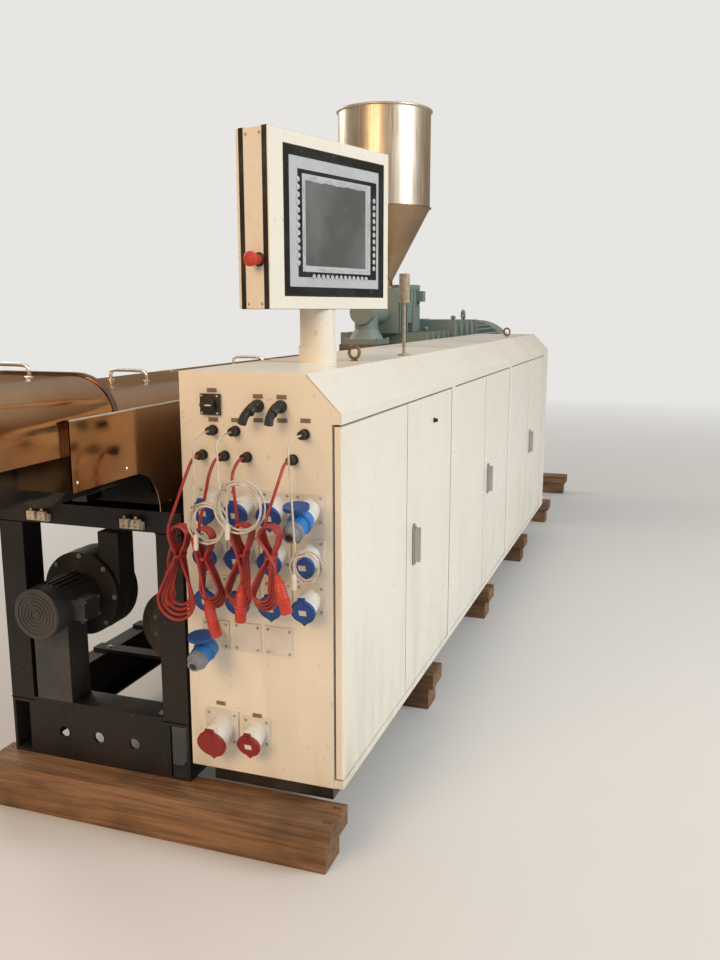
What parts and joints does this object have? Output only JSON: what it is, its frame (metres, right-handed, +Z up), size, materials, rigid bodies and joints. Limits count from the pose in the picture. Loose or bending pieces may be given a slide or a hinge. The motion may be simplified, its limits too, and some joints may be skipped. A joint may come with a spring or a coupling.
{
  "type": "plastic extruder",
  "caption": "Conical twin-screw plastic extruder with a long electrical cabinet, swivelling operator box, socket panel, hooded barrel, hopper, gearboxes and motor on a steel frame.",
  "frame": {"origin": "middle of the footprint, on the floor under the timbers", "axes": "+X from the discharge end to the motor, -Y to the operator's doors, +Z up"},
  "size_m": [5.94, 1.122, 2.48],
  "materials": {
    "timber": "rough sawn",
    "frame_paint": "satin",
    "plinth_paint": "matt",
    "cabinet_paint": "smooth gloss",
    "zinc_steel": "zinc plated",
    "bright_handle": "polished",
    "bronzed_eye": "passivated",
    "screen_panel": "satin foil",
    "red_plastic": "gloss",
    "blue_plastic": "gloss",
    "white_plastic": "satin",
    "black_plastic": "satin",
    "light_blue_plastic": "gloss",
    "red_cable": "silicone",
    "wrapped_lamp": "film wrapped",
    "machined_steel": "machined",
    "band_steel": "satin",
    "polished_steel": "polished",
    "black_cast": "painted",
    "motor_black": "satin",
    "machine_paint": "satin",
    "tank_paint": "satin",
    "hopper_steel": "bright"
  },
  "bodies": {
    "machine": {"timber_sleepers": "timber", "base_side_rails": "frame_paint", "base_cross_rails": "frame_paint", "frame_posts": "frame_paint", "frame_top_rails": "frame_paint", "mounting_bars": "frame_paint", "cabinet_plinth": "plinth_paint", "cabinet_floor": "cabinet_paint", "cabinet_back": "cabinet_paint", "front_end_panel": "cabinet_paint", "rear_end_panel": "cabinet_paint", "cabinet_roof": "cabinet_paint", "door_rails": "cabinet_paint", "door_mullions": "cabinet_paint", "hinge_pins": "zinc_steel", "lifting_eyes": "bronzed_eye", "column_collar": "cabinet_paint", "signal_lamp": "wrapped_lamp", "panel_switchgear": "black_plastic", "socket_housings": "white_plastic", "blue_socket_lids": "blue_plastic", "red_socket_lids": "red_plastic", "blue_plugs": "light_blue_plastic", "lead_tubes": "red_cable", "lead_coils": "red_cable", "lead_connectors": "red_plastic", "barrel": "machined_steel", "heater_bands": "band_steel", "barrel_saddle": "frame_paint", "barrel_trough": "polished_steel", "barrel_hoods": "polished_steel", "cooling_blowers": "black_cast", "blower_motors": "motor_black", "vacuum_tank": "tank_paint", "feeder_housing": "machine_paint", "feeder_motor": "machine_paint", "hopper_shell": "hopper_steel", "hopper_cone": "hopper_steel", "distribution_gearbox": "machine_paint", "reduction_gearbox": "machine_paint", "coupling_guard": "frame_paint", "main_motor": "machine_paint", "drive_pedestals": "frame_paint"},
    "leaf_1": {"door_1": "cabinet_paint"},
    "leaf_2": {"door_2": "cabinet_paint", "handle_1": "bright_handle"},
    "leaf_3": {"door_3": "cabinet_paint"},
    "leaf_4": {"door_4": "cabinet_paint", "handle_2": "bright_handle"},
    "leaf_5": {"door_5": "cabinet_paint"},
    "leaf_6": {"door_6": "cabinet_paint", "handle_3": "bright_handle"},
    "operator_unit": {"operator_column": "cabinet_paint", "operator_box": "cabinet_paint", "operator_front": "cabinet_paint", "operator_screen": "screen_panel", "emergency_stop": "red_plastic"}
  },
  "joints": [
    {"name": "door_1_hinge", "type": "hinge", "parent": "machine", "child": "leaf_1", "pos_m": [-2.311, -0.533, 0.64], "axis": [0, 0, 1], "range_deg": [-90, 0]},
    {"name": "door_2_hinge", "type": "hinge", "parent": "machine", "child": "leaf_2", "pos_m": [-1.157, -0.533, 0.64], "axis": [0, 0, 1], "range_deg": [0, 90]},
    {"name": "door_3_hinge", "type": "hinge", "parent": "machine", "child": "leaf_3", "pos_m": [-1.083, -0.533, 0.64], "axis": [0, 0, 1], "range_deg": [-90, 0]},
    {"name": "door_4_hinge", "type": "hinge", "parent": "machine", "child": "leaf_4", "pos_m": [0.071, -0.533, 0.64], "axis": [0, 0, 1], "range_deg": [0, 90]},
    {"name": "door_5_hinge", "type": "hinge", "parent": "machine", "child": "leaf_5", "pos_m": [0.145, -0.533, 0.64], "axis": [0, 0, 1], "range_deg": [-90, 0]},
    {"name": "door_6_hinge", "type": "hinge", "parent": "machine", "child": "leaf_6", "pos_m": [1.299, -0.533, 0.64], "axis": [0, 0, 1], "range_deg": [0, 90]},
    {"name": "operator_swivel", "type": "hinge", "parent": "machine", "child": "operator_unit", "pos_m": [-1.835, -0.284, 1.32], "axis": [0, 0, 1], "range_deg": [-70, 60]}
  ]
}
